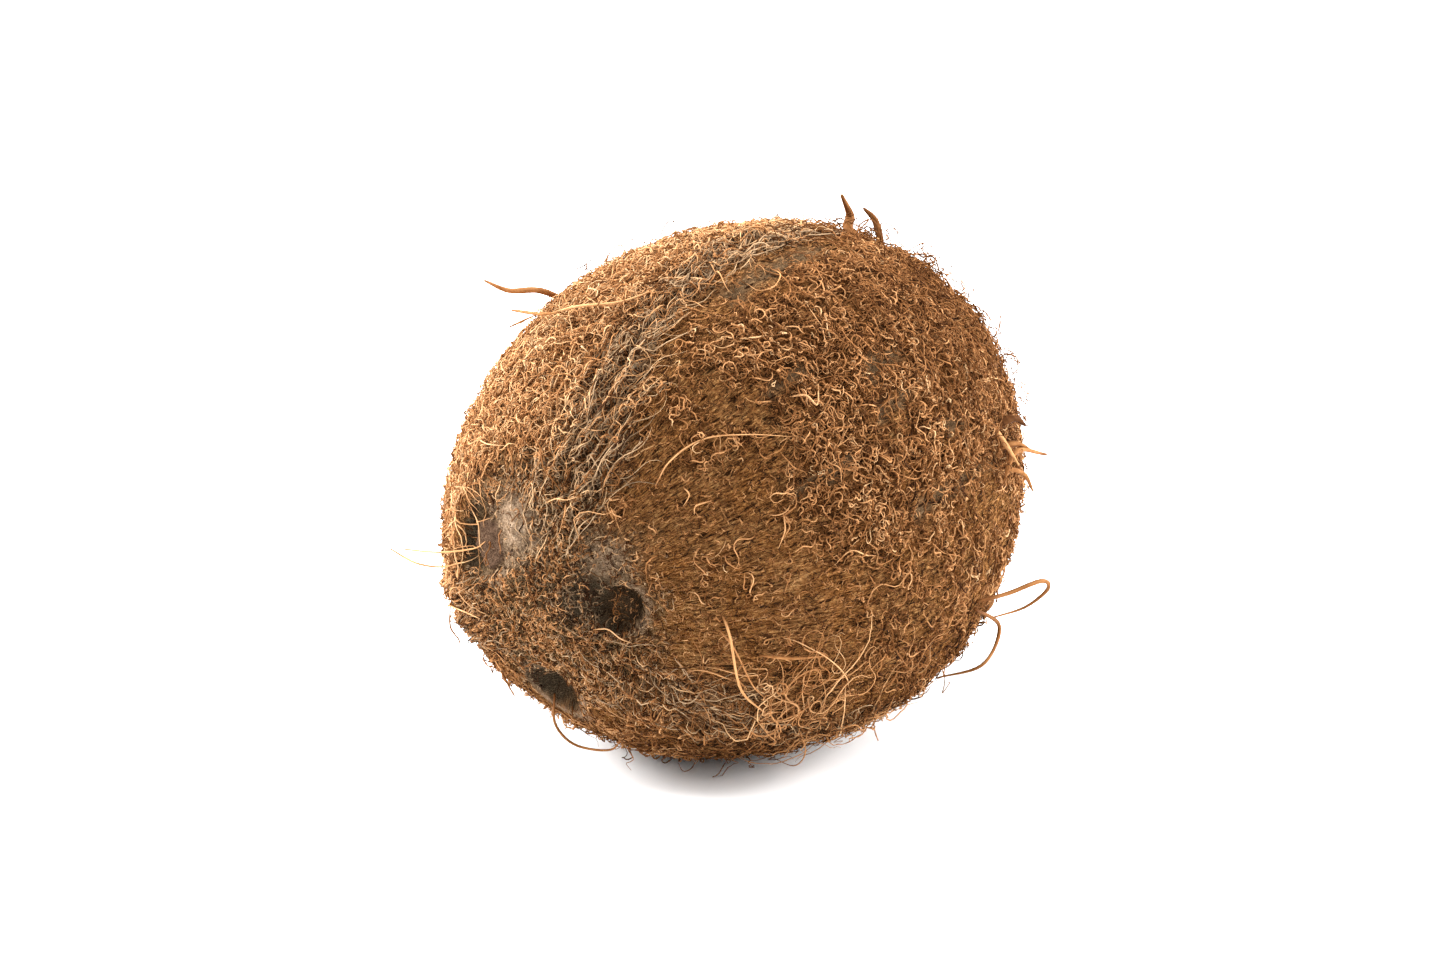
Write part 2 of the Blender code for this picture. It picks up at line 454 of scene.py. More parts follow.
# ---------- materials
class Graph:
    """A material's node tree, with short ways to add what a natural surface needs."""

    def __init__(self, name):
        self.material = bpy.data.materials.new(name)
        self.material.use_nodes = True
        self.tree = self.material.node_tree
        self.shader = self.tree.nodes["Principled BSDF"]

    def put(self, socket, value):
        if isinstance(value, bpy.types.NodeSocket):
            self.tree.links.new(value, socket)
        elif value is not None:
            socket.default_value = value

    def add(self, kind, values, **settings):
        """The outputs of a new node with these settings and these values in its inputs."""
        node = self.tree.nodes.new("ShaderNode" + kind)
        for name, setting in settings.items():
            setattr(node, name, setting)
        for socket, value in values.items():
            self.put(node.inputs[socket], value)
        return node.outputs

    def attribute(self, name):
        return self.add("Attribute", {}, attribute_name=name)["Vector"]

    def split(self, vector):
        return self.add("SeparateXYZ", {0: vector})

    def stretch(self, vector, factors):
        return self.add("VectorMath", {0: vector, 1: factors}, operation="MULTIPLY")[0]

    def math(self, operation, first, second=None, clamp=False):
        return self.add("Math", {0: first, 1: second}, operation=operation, use_clamp=clamp)[0]

    def noise(self, vector, scale, detail, roughness, distortion=0.0):
        return self.add("TexNoise", {"Vector": vector, "Scale": scale, "Detail": detail,
                                     "Roughness": roughness, "Distortion": distortion})[0]

    def worms(self, vector, scale, distortion):
        """Thin bright wandering lines, like threads lying in a mat."""
        wave = self.math("SUBTRACT", self.noise(vector, scale, 2.0, 0.5, distortion), 0.5)
        return self.levels(self.math("ABSOLUTE", wave), 0.045, 0.0)

    def slits(self, vector, scale, widest):
        """Scattered dark specks of many sizes: 1 in a speck, 0 between them."""
        cells = self.add("TexVoronoi", {"Vector": vector, "Scale": scale})
        size = self.levels(self.split(cells["Color"])[0], 0.35, 1.0)
        edge = self.math("MULTIPLY", size, widest)
        inside = self.math("SUBTRACT", edge, cells["Distance"])
        return self.levels(inside, -0.02, 0.05)

    def ramp(self, value, stops):
        colour = self.add("ValToRGB", {0: value})[0]
        elements = colour.node.color_ramp.elements
        while len(elements) < len(stops):
            elements.new(0.5)
        for element, (place, shade) in zip(elements, stops):
            element.position = place
            element.color = (*shade, 1.0)
        return colour

    def levels(self, value, low, high):
        """Stretch low..high to 0..1."""
        return self.add("MapRange", {"Value": value, "From Min": low, "From Max": high})[0]

    def mix(self, factor, first, second, blend="MIX"):
        colours = [(*value, 1.0) if isinstance(value, tuple) else value
                   for value in (first, second)]
        return self.add("Mix", {0: factor, 6: colours[0], 7: colours[1]}, data_type="RGBA",
                        blend_type=blend)[2]

    def bump(self, height, strength, distance, normal=None):
        return self.add("Bump", {"Height": height, "Strength": strength, "Distance": distance,
                                 "Normal": normal})[0]

    def surface(self, colour, roughness, specular):
        """Set the shader's own sockets."""
        self.put(self.shader.inputs["Base Color"], colour)
        self.shader.inputs["Roughness"].default_value = roughness
        self.shader.inputs["Specular IOR Level"].default_value = specular


# The studio is bright, so the nut's colours are multiplied by this
TONE = (0.86, 0.87, 0.86)


def shell_material():
    """Matted coir over hard shell: grained brown, with each region's own colour."""
    g = Graph("coir_shell")
    place = g.attribute("nut_place")
    grain = g.attribute("nut_grain")
    ridge, face, fuzz = g.split(g.attribute("region"))
    worn, eyes_and_crease_shade, stain = g.split(g.attribute("detail"))
    curls, ashen, plug = g.split(g.attribute("extra"))

    strokes = g.noise(grain, 1.9, 4.0, 0.72, 0.9)
    threads = g.worms(grain, 1.7, 1.5)
    tangle = g.worms(place, 1.5, 2.6)
    tufts = g.noise(place, 1.5, 4.0, 0.72, 1.2)
    broad = g.noise(place, 0.12, 3.0, 0.5)
    patches = g.noise(place, 0.45, 3.0, 0.6)

    brown = g.ramp(strokes, [(0.38, (0.03, 0.011, 0.004)), (0.455, (0.135, 0.056, 0.019)),
                             (0.53, (0.285, 0.13, 0.046)), (0.64, (0.58, 0.31, 0.125))])
    brown = g.mix(g.math("MULTIPLY", threads, 0.5), brown, (0.46, 0.225, 0.085))
    brown = g.mix(g.levels(broad, 0.4, 0.62), brown, (0.86, 0.78, 0.68), "MULTIPLY")
    brown = g.mix(g.levels(patches, 0.38, 0.62), brown, (1.25, 1.18, 1.1), "MULTIPLY")
    # Painted shade: the shell is darkened where the curls stand, so the gaps under and between them
    # read deeper
    brown = g.mix(g.math("MULTIPLY", curls, 0.75), brown, (0.5, 0.4, 0.33), "MULTIPLY")
    orange = g.ramp(tufts, [(0.38, (0.1, 0.034, 0.01)), (0.48, (0.27, 0.11, 0.034)),
                            (0.58, (0.5, 0.24, 0.09)), (0.72, (0.74, 0.43, 0.2))])
    orange = g.mix(g.math("MULTIPLY", tangle, 0.4), orange, (0.66, 0.37, 0.16))
    ash = g.ramp(strokes, [(0.38, (0.018, 0.01, 0.006)), (0.46, (0.125, 0.072, 0.038)),
                           (0.54, (0.37, 0.225, 0.128)), (0.65, (0.68, 0.48, 0.305))])
    ash = g.mix(g.levels(patches, 0.5, 0.38), ash, (0.42, 0.38, 0.34), "MULTIPLY")
    mat = g.ramp(tufts, [(0.42, (0.018, 0.009, 0.004)), (0.48, (0.105, 0.055, 0.024)),
                         (0.54, (0.25, 0.14, 0.064)), (0.66, (0.5, 0.315, 0.16))])
    mat = g.mix(g.math("MULTIPLY", tangle, 0.45), mat, (0.46, 0.285, 0.14))
    mat = g.mix(g.levels(patches, 0.56, 0.42), mat, (0.5, 0.44, 0.38), "MULTIPLY")
    pale = g.ramp(tufts, [(0.36, (0.25, 0.155, 0.093)), (0.5, (0.5, 0.33, 0.21)),
                          (0.64, (0.72, 0.515, 0.355))])
    smooth = g.ramp(strokes, [(0.34, (0.105, 0.06, 0.03)), (0.52, (0.19, 0.112, 0.058)),
                              (0.7, (0.33, 0.205, 0.11))])
    wood = g.ramp(tufts, [(0.34, (0.07, 0.038, 0.024)), (0.5, (0.16, 0.092, 0.058)),
                          (0.68, (0.29, 0.175, 0.112))])
    colour = g.mix(fuzz, brown, orange)
    colour = g.mix(ridge, colour, ash)
    colour = g.mix(face, colour, mat)
    colour = g.mix(g.math("MULTIPLY", ashen, 0.95), colour, pale)
    colour = g.mix(worn, colour, smooth)
    colour = g.mix(stain, colour, g.mix(tangle, (0.044, 0.031, 0.019), (0.17, 0.122, 0.074)))
    small = g.slits(grain, 0.85, 0.34)
    large = g.slits(g.stretch(grain, (1.0, 1.0, 1.6)), 0.34, 0.24)
    slits = g.math("MAXIMUM", small, large)
    open_face = g.math("SUBTRACT", 1.0, g.math("MAXIMUM", fuzz, face), True)
    slits = g.math("MULTIPLY", slits, open_face)
    colour = g.mix(g.math("MULTIPLY", slits, 0.9), colour, (0.022, 0.008, 0.003))
    colour = g.mix(plug, colour, wood)
    # The near-black eyes, with the painted shade in the crease by the plug
    colour = g.mix(eyes_and_crease_shade, colour, g.mix(tangle, (0.038, 0.023, 0.013), (0.17, 0.104, 0.056)))
    g.surface(g.mix(1.0, colour, TONE, "MULTIPLY"), 0.9, 0.0)

    normal = g.bump(g.mix(g.math("MAXIMUM", fuzz, face), strokes, tufts), 1.0, 0.0022)
    normal = g.bump(g.mix(g.math("MAXIMUM", fuzz, face), threads, tangle), 0.9, 0.0007, normal)
    normal = g.bump(g.math("MULTIPLY", slits, -1.0), 0.9, 0.0006, normal)
    g.put(g.shader.inputs["Normal"], normal)
    return g.material


FIBRE_STOPS = [
    (0.00, (0.014, 0.007, 0.004)),
    (0.18, (0.075, 0.027, 0.009)),
    (0.36, (0.2, 0.08, 0.025)),
    (0.52, (0.43, 0.192, 0.072)),
    (0.66, (0.68, 0.35, 0.155)),
    (0.78, (0.81, 0.51, 0.27)),
    (0.88, (0.54, 0.355, 0.21)),
    (1.00, (0.17, 0.108, 0.062)),
]


def fibre_material():
    """One colour scale for every fibre: across the map is its tint, up it its length."""
    g = Graph("coir_fibre")
    chart = g.add("UVMap", {}, uv_map=UV_MAP)[0]
    tint, along, _ = g.split(chart)
    colour = g.ramp(tint, FIBRE_STOPS)
    spots = g.noise(g.stretch(chart, (170.0, 9.0, 1.0)), 1.0, 3.0, 0.6)
    colour = g.mix(g.levels(spots, 0.4, 0.66), colour, (0.62, 0.56, 0.5), "MULTIPLY")
    root = g.levels(along, 0.0, 0.22)
    colour = g.mix(g.math("SUBTRACT", 1.0, root, True), colour, (0.5, 0.42, 0.36), "MULTIPLY")
    g.surface(g.mix(1.0, colour, TONE, "MULTIPLY"), 0.6, 0.02)
    return g.material


# ---------- meshes
def show(name, data):
    """Put a new object with this data in the scene."""
    thing = bpy.data.objects.new(name, data)
    SCENE.collection.objects.link(thing)
    return thing


def keep(mesh, material):
    """Show a finished mesh as a piece of the nut."""
    mesh.materials.append(material)
    thing = show(mesh.name, mesh)
    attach(thing, BODY)
    return thing


def add_vectors(mesh, name, values):
    layer = mesh.attributes.new(name, "FLOAT_VECTOR", "POINT")
    layer.data.foreach_set("vector", np.asarray(values, np.float32).ravel())


SHELL_CELLS = 124            # cells along each edge of the cube that is blown up to the shell
TILE_MARGIN = 0.01


def shell_cube():
    """A cube divided into even cells, as corner places and a mesh."""
    grid = bmesh.new()
    bmesh.ops.create_cube(grid, size=2.0)
    bmesh.ops.subdivide_edges(grid, edges=grid.edges[:], cuts=SHELL_CELLS - 1, use_grid_fill=True)
    mesh = bpy.data.meshes.new("nut_shell")
    grid.to_mesh(mesh)
    grid.free()
    corners = np.zeros(len(mesh.vertices) * 3, np.float32)
    mesh.vertices.foreach_get("co", corners)
    return mesh, corners.reshape(-1, 3).astype(float)


def lay_out_shell(mesh, corners):
    """Unwrap the cube's six sides as six tiles, three across and two up."""
    vertex_of = np.zeros(len(mesh.loops), np.int64)
    mesh.loops.foreach_get("vertex_index", vertex_of)
    around_face = corners[vertex_of].reshape(-1, 4, 3)
    middle = around_face.mean(axis=1)
    axis = np.abs(middle).argmax(axis=1)
    positive = middle[np.arange(len(middle)), axis] > 0
    first = np.take_along_axis(around_face, ((axis + 1) % 3)[:, None, None], 2)[..., 0]
    second = np.take_along_axis(around_face, ((axis + 2) % 3)[:, None, None], 2)[..., 0]
    first = TILE_MARGIN + (first + 1) / 2 * (1 - 2 * TILE_MARGIN)
    second = TILE_MARGIN + (second + 1) / 2 * (1 - 2 * TILE_MARGIN)
    flat = np.stack([(first + axis[:, None]) / 3, (second + positive[:, None]) / 2], axis=-1)
    layer = mesh.uv_layers.new(name=UV_MAP)
    layer.uv.foreach_set("vector", flat.astype(np.float32).ravel())


def make_shell(skin, material):
    mesh, corners = shell_cube()
    lay_out_shell(mesh, corners)
    ball = unit(np.tan(corners * pi / 4))
    around = np.arctan2(ball[:, 1], ball[:, 0]) % (2 * pi)
    polar = np.arccos(np.clip(ball[:, 2], -1, 1))
    cover = Cover(around, polar)
    places = skin.above_solid(around, polar, shell_height(cover) * MM)
    places[:, 2] = np.maximum(places[:, 2], 0.0)
    mesh.vertices.foreach_set("co", places.astype(np.float32).ravel())
    add_vectors(mesh, "nut_place", egg(around, polar))
    add_vectors(mesh, "nut_grain", grain_point(around, polar, COLOUR_STRETCH))
    add_vectors(mesh, "region", np.stack([ridge_ash(cover), cover.face, cover.fuzz], axis=1))
    # Detail holds the worn streaks, the dark eyes with the crease's painted shade, and the soot
    add_vectors(mesh, "detail", np.stack([cover.worn, dark_eyes_and_crease_shade(cover), soot(cover)], axis=1))
    plug = 1 - rise(0.88, 1.04, disc_reach(cover) + 0.1 * cover.finer)
    add_vectors(mesh, "extra", np.stack([cover.curls, ash_rings(cover), plug], axis=1))
    mesh.shade_smooth()
    mesh.update()
    return keep(mesh, material)


TINY = 1e-12                 # keeps a division by a length of nothing finite


def frames_along(paths):
    """Two crossing unit vectors square to each path, carried along it without twist."""
    runs = np.gradient(paths, axis=1)
    runs /= np.linalg.norm(runs, axis=2, keepdims=True) + TINY
    helper = np.where(np.abs(runs[:, :1, 2:]) < 0.9, [[[0.0, 0.0, 1.0]]], [[[1.0, 0.0, 0.0]]])
    side = np.cross(runs[:, 0], helper[:, 0])
    sides = []
    for step in range(paths.shape[1]):
        run = runs[:, step]
        side = side - (side * run).sum(axis=1, keepdims=True) * run
        side /= np.linalg.norm(side, axis=1, keepdims=True) + TINY
        sides.append(side)
    sides = np.stack(sides, axis=1)
    return sides, np.cross(runs, sides)


# The fibres' map: tints that fit on it, half a fibre's width, and where the ends come
MAP_TINTS = (0.006, 0.994)
MAP_HALF = 0.005
MAP_ENDS = (0.01, 0.98)


def tube_mesh(name, paths, radii, tints, corners=3, flatness=1.0):
    """Closed tubes along many paths (fibres x steps x 3), coloured through their UV map."""
    fibres, steps, _ = paths.shape
    sides, others = frames_along(paths)
    turns = np.arange(corners) * 2 * pi / corners
    rings = (paths[:, :, None]
             + sides[:, :, None] * (np.cos(turns)[:, None] * radii[:, :, None, None])
             + others[:, :, None] * (np.sin(turns)[:, None] * radii[:, :, None, None] * flatness))
    rings[..., 2] = np.maximum(rings[..., 2], 0.0)
    number = np.arange(fibres * steps * corners).reshape(fibres, steps, corners)
    after = np.roll(number, -1, axis=2)
    walls = np.stack([number[:, :-1], after[:, :-1], after[:, 1:], number[:, 1:]], axis=-1)
    caps = np.concatenate([number[:, :1, ::-1], number[:, -1:]], axis=1)
    order = np.concatenate([walls.reshape(-1), caps.reshape(-1)])

    # Every corner has one place on the map, wide enough to be painted from any side
    up = np.linspace(*MAP_ENDS, steps)
    flat = np.zeros((fibres, steps, corners, 2))
    flat[..., 0] = np.clip(tints, *MAP_TINTS)[:, None, None] + MAP_HALF * np.cos(turns)
    flat[..., 1] = up[None, :, None] + 2 * MAP_HALF * np.maximum(np.sin(turns), 0)
    flat = flat.reshape(-1, 2)[order]

    wall_count = walls.size // 4
    cap_count = fibres * 2
    starts = np.concatenate([np.arange(wall_count) * 4,
                             wall_count * 4 + np.arange(cap_count) * corners])
    mesh = bpy.data.meshes.new(name)
    mesh.vertices.add(fibres * steps * corners)
    mesh.vertices.foreach_set("co", rings.astype(np.float32).ravel())
    mesh.loops.add(len(order))
    mesh.loops.foreach_set("vertex_index", order.astype(np.int32))
    mesh.polygons.add(wall_count + cap_count)
    mesh.polygons.foreach_set("loop_start", starts.astype(np.int32))
    layer = mesh.uv_layers.new(name=UV_MAP)
    layer.uv.foreach_set("vector", flat.astype(np.float32).ravel())
    mesh.update(calc_edges=True)
    mesh.validate()
    mesh.shade_smooth()
    return mesh


# ---------- fibres that grow by rule
TRIANGLES_PER_PIECE = 190000
FIBRE_TIP = 0.55                 # how far a fibre thins from its root to its tip
STRAND_TIP = 0.6
SWAYS = (0.5, 1.6)               # how many times a fibre sways to and fro
ARCH = 1.1                       # an arched fibre is down again at 1 / ARCH of its length
POLE_GAP = 0.01                  # fibres stay this angle (radians) away from the poles
LEAST_SINE = 0.06                # keeps their steps round the axis short near the poles


def taper(steps, tip):
    """A fibre's thickness along it, as a share of its greatest: both ends are thinned."""
    share = np.linspace(0, 1, steps)
    swell = np.sin(pi * (0.12 + 0.80 * share)) ** 0.6
    return swell * (1 + (tip - 1) * share)


def scatter(rng, count, density, last):
    """Random places up to an angle from the pole, of `count` tries kept by their density."""
    around = rng.uniform(0, 2 * pi, count)
    polar = np.arccos(rng.uniform(cos(radians(last)), 1, count))
    kept = rng.uniform(0, 1, count) < density(Cover(around, polar))
    return around[kept], polar[kept]


def crawl(skin, rng, around, polar, recipe):
    """Paths that start at the given places and wander over the nut's surface."""
    fibres = len(around)
    steps = recipe.steps
    length = rng.uniform(*recipe.length, fibres) * MM
    heading = rng.normal(0, recipe.spread, fibres) + pi * rng.integers(0, 2, fibres)
    curl = rng.normal(0, recipe.curl, fibres)
    swing = rng.normal(0, recipe.swing, fibres)
    waves = rng.uniform(*SWAYS, fibres)
    phase = rng.uniform(0, 2 * pi, fibres)
    root = rng.uniform(*recipe.root, fibres) * MM
    lift = rng.uniform(0, 1, fibres) ** recipe.bias * recipe.lift * MM
    arched = rng.uniform(0, 1, fibres)
    stride = length / (steps - 1)
    points = []
    for step in range(steps):
        share = step / (steps - 1)
        arch = sin(pi * min(1.0, share * ARCH))
        height = root + lift * (arched * arch + (1 - arched) * share ** 1.5)
        points.append(skin.above_shell(around, polar, height))
        way = heading + curl * share + swing * np.sin(2 * pi * waves * share + phase)
        meridian = np.hypot(HALF_WIDTH * np.cos(polar), HALF_LENGTH * np.sin(polar))
        parallel = HALF_WIDTH * np.maximum(np.sin(polar), LEAST_SINE)
        polar = np.clip(polar + stride * np.cos(way) / meridian, POLE_GAP, pi - POLE_GAP)
        around = around + stride * np.sin(way) / parallel
    return np.stack(points, axis=1)


def plant(name, skin, rng, material, recipe, around, polar, tint):
    """Fibres from the given places, as pieces that each stay under the triangle limit."""
    paths = crawl(skin, rng, around, polar, recipe)
    thick = rng.uniform(*recipe.radius, len(around)) * MM
    radii = thick[:, None] * taper(recipe.steps, FIBRE_TIP)[None]
    tints = tint(rng, Cover(around, polar))
    per_fibre = (recipe.steps - 1) * 6 + 2
    batch = TRIANGLES_PER_PIECE // per_fibre
    parts = max(1, ceil(len(around) / batch))
    for part in range(parts):
        own = slice(part, None, parts)
        keep(tube_mesh(f"{name}_{part + 1}", paths[own], radii[own], tints[own]), material)


# A kind of fibre: its points; its length; how far its headings spread, how much it curls and
# how much it sways (radians); how high its root is and how far it lifts off; its half
# thickness; and the bias of the lift, where more keeps more of them low.  Lengths are in mm.
Recipe = namedtuple("Recipe", "steps length spread curl swing root lift radius bias",
                    defaults=[1.6])
CURL = Recipe(9, (1.8, 6.5), 1.3, 2.6, 1.9, (-0.1, 0.3), 1.8, (0.12, 0.23))
FUZZ = Recipe(9, (2.0, 8.0), 0.8, 2.2, 1.7, (-0.1, 0.5), 2.1, (0.12, 0.21))
WAVE = Recipe(12, (8.0, 20.0), 0.5, 1.2, 0.6, (0.1, 0.6), 1.4, (0.12, 0.21))
GRAIN = Recipe(5, (1.2, 4.0), 0.30, 0.6, 0.5, (-0.08, 0.0), 0.35, (0.07, 0.13))
BIT = Recipe(4, (0.5, 1.7), 1.0, 1.2, 0.5, (-0.05, 0.02), 0.6, (0.08, 0.15))
STRAW = Recipe(10, (4.0, 14.0), 0.20, 0.6, 0.6, (0.0, 0.5), 1.1, (0.09, 0.18))
MATTED = Recipe(7, (2.0, 6.5), 0.28, 1.0, 1.1, (-0.2, 0.2), 0.9, (0.10, 0.18))
CRIMP = Recipe(7, (1.0, 3.4), 2.0, 3.0, 2.0, (-0.12, 0.05), 0.7, (0.08, 0.15))
SPECK = Recipe(4, (0.4, 1.5), 2.0, 1.5, 1.0, (0.0, 0.1), 0.6, (0.06, 0.11))
BRISTLE = Recipe(5, (0.8, 2.6), 1.5, 1.0, 0.8, (-0.1, 0.1), 2.4, (0.06, 0.12), 1.2)
FRIZZ = Recipe(16, (5.0, 15.0), 1.5, 3.2, 2.0, (0.2, 0.8), 5.5, (0.11, 0.18), 1.7)
LOOP = Recipe(22, (8.0, 24.0), 1.0, 1.7, 1.5, (0.0, 0.4), 4.0, (0.13, 0.21), 0.7)


def darkened(rng, tints, share, drop):
    """Make a share of the fibres darker by a drop in tint."""
    return np.where(rng.uniform(0, 1, len(tints)) < share, tints - drop, tints)


def shaded_side(cover):
    """The strip along the lowest visible ridge whose fibres get darker tints: painted shade."""
    strip = bell(turn_to(cover.around, radians(318)), 0.35)
    return strip * window(np.degrees(cover.polar), 52, 100, 10)


def curl_tint(rng, cover):
    # Painted shade: curls on the strip by the lowest ridge get darker tints
    base = 0.55 + 0.13 * cover.fuzz + 0.22 * cover.ragged - 0.12 * shaded_side(cover)
    tints = darkened(rng, base + rng.normal(0, 0.085, len(base)), 0.30, 0.26)
    return np.clip(tints, 0.04, 0.80)


def grain_tint(rng, cover):
    base = 0.37 + 0.20 * cover.fuzz + 0.22 * cover.ragged
    ashen = rng.uniform(0, 1, len(base)) < 0.85 * cover.ridge
    tints = np.clip(darkened(rng, base + rng.normal(0, 0.09, len(base)), 0.40, 0.24), 0.02, 0.76)
    return np.where(ashen, rng.uniform(0.84, 1.0, len(base)), tints)


def bit_tint(rng, cover):
    base = rng.uniform(0.38, 0.64, len(cover.around)) + 0.2 * cover.ragged
    return np.clip(darkened(rng, base, 0.36, 0.40), 0.02, 0.76)


def straw_tint(rng, cover):
    pick = rng.uniform(0, 1, len(cover.around))
    ash = rng.uniform(0.82, 0.97, len(pick))
    straw = rng.uniform(0.60, 0.80, len(pick))
    brown = rng.uniform(0.06, 0.42, len(pick))
    return np.where(pick < 0.50, ash, np.where(pick < 0.70, straw, brown))


def matted_tint(rng, cover):
    pick = rng.uniform(0, 1, len(cover.around))
    dark = rng.uniform(0.02, 0.30, len(pick))
    ash = rng.uniform(0.82, 0.97, len(pick))
    # Painted shade: brown fibres on the strip by the lowest ridge get darker tints
    brown = rng.uniform(0.36, 0.60, len(pick)) - 0.12 * shaded_side(cover)
    ashen = 0.34 + 0.46 * upper_ridge(cover)
    return np.where(pick < 0.24, dark, np.where(pick < ashen, ash, brown))


def crimp_tint(rng, cover):
    pick = rng.uniform(0, 1, len(cover.around))
    grey = rng.uniform(0.84, 1.0, len(pick))
    dark = rng.uniform(0.02, 0.30, len(pick))
    gold = rng.uniform(0.42, 0.72, len(pick))
    ashen = 0.12 + 0.6 * ash_rings(cover)
    golden = 0.62 + 0.3 * cover.pole_tuft
    tints = np.where(pick < ashen, grey, np.where(pick < golden, gold, dark))
    # Fibres by the dark eyes and the soot take sooty tints; the crease's painted shade counts here
    # too
    stain_and_crease_shade = np.maximum(dark_eyes_and_crease_shade(cover), soot(cover)) * 0.85
    stain_and_crease_shade = rng.uniform(0, 1, len(pick)) < stain_and_crease_shade
    sooty = np.where(rng.uniform(0, 1, len(pick)) < 0.6, rng.uniform(0.0, 0.16, len(pick)), 0.97)
    return np.where(stain_and_crease_shade, sooty, tints)


def even_tint(low, high):
    return lambda rng, cover: rng.uniform(low, high, len(cover.around))


speck_tint = even_tint(0.30, 0.66)
pale_tint = even_tint(0.50, 0.73)
frizz_tint = even_tint(0.20, 0.50)


def clear_of_eyes(cover):
    clear = 1.0
    for name in ("soft", "disc", "low"):
        clear = clear * rise(1.2, 1.6, cover.eyes[name][2])
    return clear


def off_plug(cover):
    """None on the plug of the second eye, nor in the hollow on its far side."""
    return rise(0.98, 1.25, disc_reach(cover) - 0.55 * disc_far_side(cover))


def off_pits(cover):
    return rise(0.85, 1.15, np.minimum(low_reach(cover), cover.eyes["soft"][2]))


def clumps(cover):
    """The crimped fibres stand in clumps, with bare holes between them."""
    place = egg(cover.around, cover.polar)
    return 0.15 + 0.85 * rise(0.44, 0.54, rough_lumps(place, MAT))


def off_ash(cover):
    return 1 - 0.9 * ash_rings(cover)


def mostly_bare(cover):
    return (1 - cover.fuzz) * (1 - cover.face) * (1 - 0.85 * cover.worn) * clear_of_eyes(cover)


# name, recipe, tries, density, tint, last angle from the pole
GROWTHS = [
    ("fuzz", FUZZ, 62000, lambda cover: cover.fuzz * 0.95, curl_tint, 180),
    ("waves", WAVE, 4600, lambda cover: 0.75 * cover.fuzz + 0.10 * cover.curls, curl_tint, 180),
    ("curls", CURL, 56000,
     lambda cover: cover.curls * 0.9 + 0.015 * mostly_bare(cover), curl_tint, 180),
    ("grain", GRAIN, 20000, lambda cover: 0.5 * mostly_bare(cover), grain_tint, 180),
    ("bits", BIT, 44000, mostly_bare, bit_tint, 180),
    ("specks", SPECK, 6000,
     lambda cover: 0.35 * (cover.eyes["soft"][2] < 0.95), speck_tint, 30),
    ("straw", STRAW, 32000,
     lambda cover: (cover.ridge * (1 - 0.85 * cover.face) * clear_of_eyes(cover)
                    * upper_ridge(cover)),
     straw_tint, 130),
    ("matted", MATTED, 60000,
     lambda cover: cover.ridge * clear_of_eyes(cover) * off_ash(cover) * between_grooves(cover),
     matted_tint, 130),
    ("mat", CRIMP, 24000,
     lambda cover: cover.face * off_plug(cover) * off_pits(cover) * off_ash(cover) * clumps(cover),
     crimp_tint, 42),
    ("bristles", BRISTLE, 16000,
     lambda cover: (0.25 + 0.6 * cover.fuzz - 0.25 * cover.face) * clear_of_eyes(cover),
     curl_tint, 180),
]

# Looser tufts: name, recipe, tint, direction and angle of the middle (degrees), spread (mm),
# fibres
TUFTS = [
    ("tuft_near", LOOP, pale_tint, 326, 58, 4.6, 50),
    ("tuft_low", LOOP, pale_tint, 316, 78, 6.0, 26),
    ("tuft_right", FRIZZ, frizz_tint, 8, 113, 4.0, 40),
    ("tuft_top", FRIZZ, frizz_tint, 78, 118, 4.0, 30),
    ("tuft_left", LOOP, pale_tint, 200, 43, 3.0, 4),
    ("frizz_back", FRIZZ, frizz_tint, 48, 119, 16.0, 560),
    ("frizz_upper", FRIZZ, frizz_tint, 104, 90, 22.0, 110),
    ("frizz_low", FRIZZ, frizz_tint, 300, 70, 24.0, 110),
    ("frizz_far", FRIZZ, frizz_tint, 210, 110, 34.0, 160),
]

